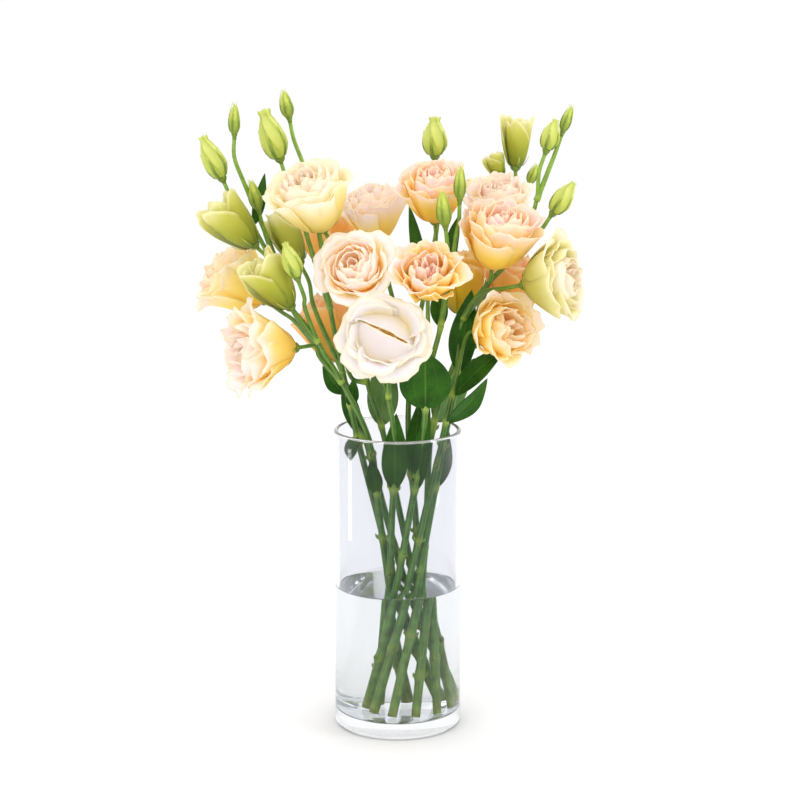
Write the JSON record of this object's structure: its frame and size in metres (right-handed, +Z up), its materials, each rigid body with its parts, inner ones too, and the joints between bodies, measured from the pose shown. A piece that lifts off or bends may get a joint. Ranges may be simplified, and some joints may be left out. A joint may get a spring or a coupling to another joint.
{
  "type": "lisianthus flower bouquet in a glass vase",
  "caption": "Bunch of double lisianthus blooms and buds on leafy stems, standing in water in a clear glass cylinder vase.",
  "frame": {"origin": "centre of the vase's foot, on the surface that it stands on", "axes": "+Z up along the vase's axis, -Y towards the viewer of the bunch's usual view, +X to that viewer's right"},
  "size_m": [0.3057, 0.2282, 0.5008],
  "materials": {
    "vase_glass": "clear, polished",
    "water": "clear liquid",
    "stem_and_leaf": "waxy, satin",
    "petal_cream": "soft, matt",
    "petal_apricot": "soft, matt",
    "petal_blush": "soft, matt",
    "bud_petal": "soft, matt"
  },
  "bodies": {
    "root": {"vase": "vase_glass", "water": "water", "stem_01": "stem_and_leaf", "stem_02": "stem_and_leaf", "stem_03": "stem_and_leaf", "stem_04": "stem_and_leaf", "stem_05": "stem_and_leaf", "stem_06": "stem_and_leaf", "stem_07": "stem_and_leaf", "stem_08": "stem_and_leaf", "stem_09": "stem_and_leaf", "stem_10": "stem_and_leaf", "bloom_01": "petal_cream", "bloom_02": "petal_apricot", "bloom_03": "petal_apricot", "bloom_04": "petal_blush", "bloom_05": "petal_apricot", "bloom_06": "petal_cream", "bloom_07": "petal_apricot", "bloom_08": "petal_apricot", "bloom_09": "petal_blush", "bloom_10": "petal_cream", "bloom_11": "petal_blush", "bloom_12": "petal_apricot", "bloom_13": "petal_apricot", "bloom_14": "petal_apricot", "bloom_15": "petal_apricot", "bloom_16": "petal_apricot", "bud_01": "bud_petal", "bud_02": "bud_petal", "bud_03": "bud_petal", "bud_04": "bud_petal", "bud_05": "bud_petal", "bud_06": "bud_petal", "bud_07": "bud_petal", "bud_08": "bud_petal", "bud_09": "bud_petal", "bud_10": "bud_petal", "bud_11": "bud_petal"}
  },
  "joints": []
}
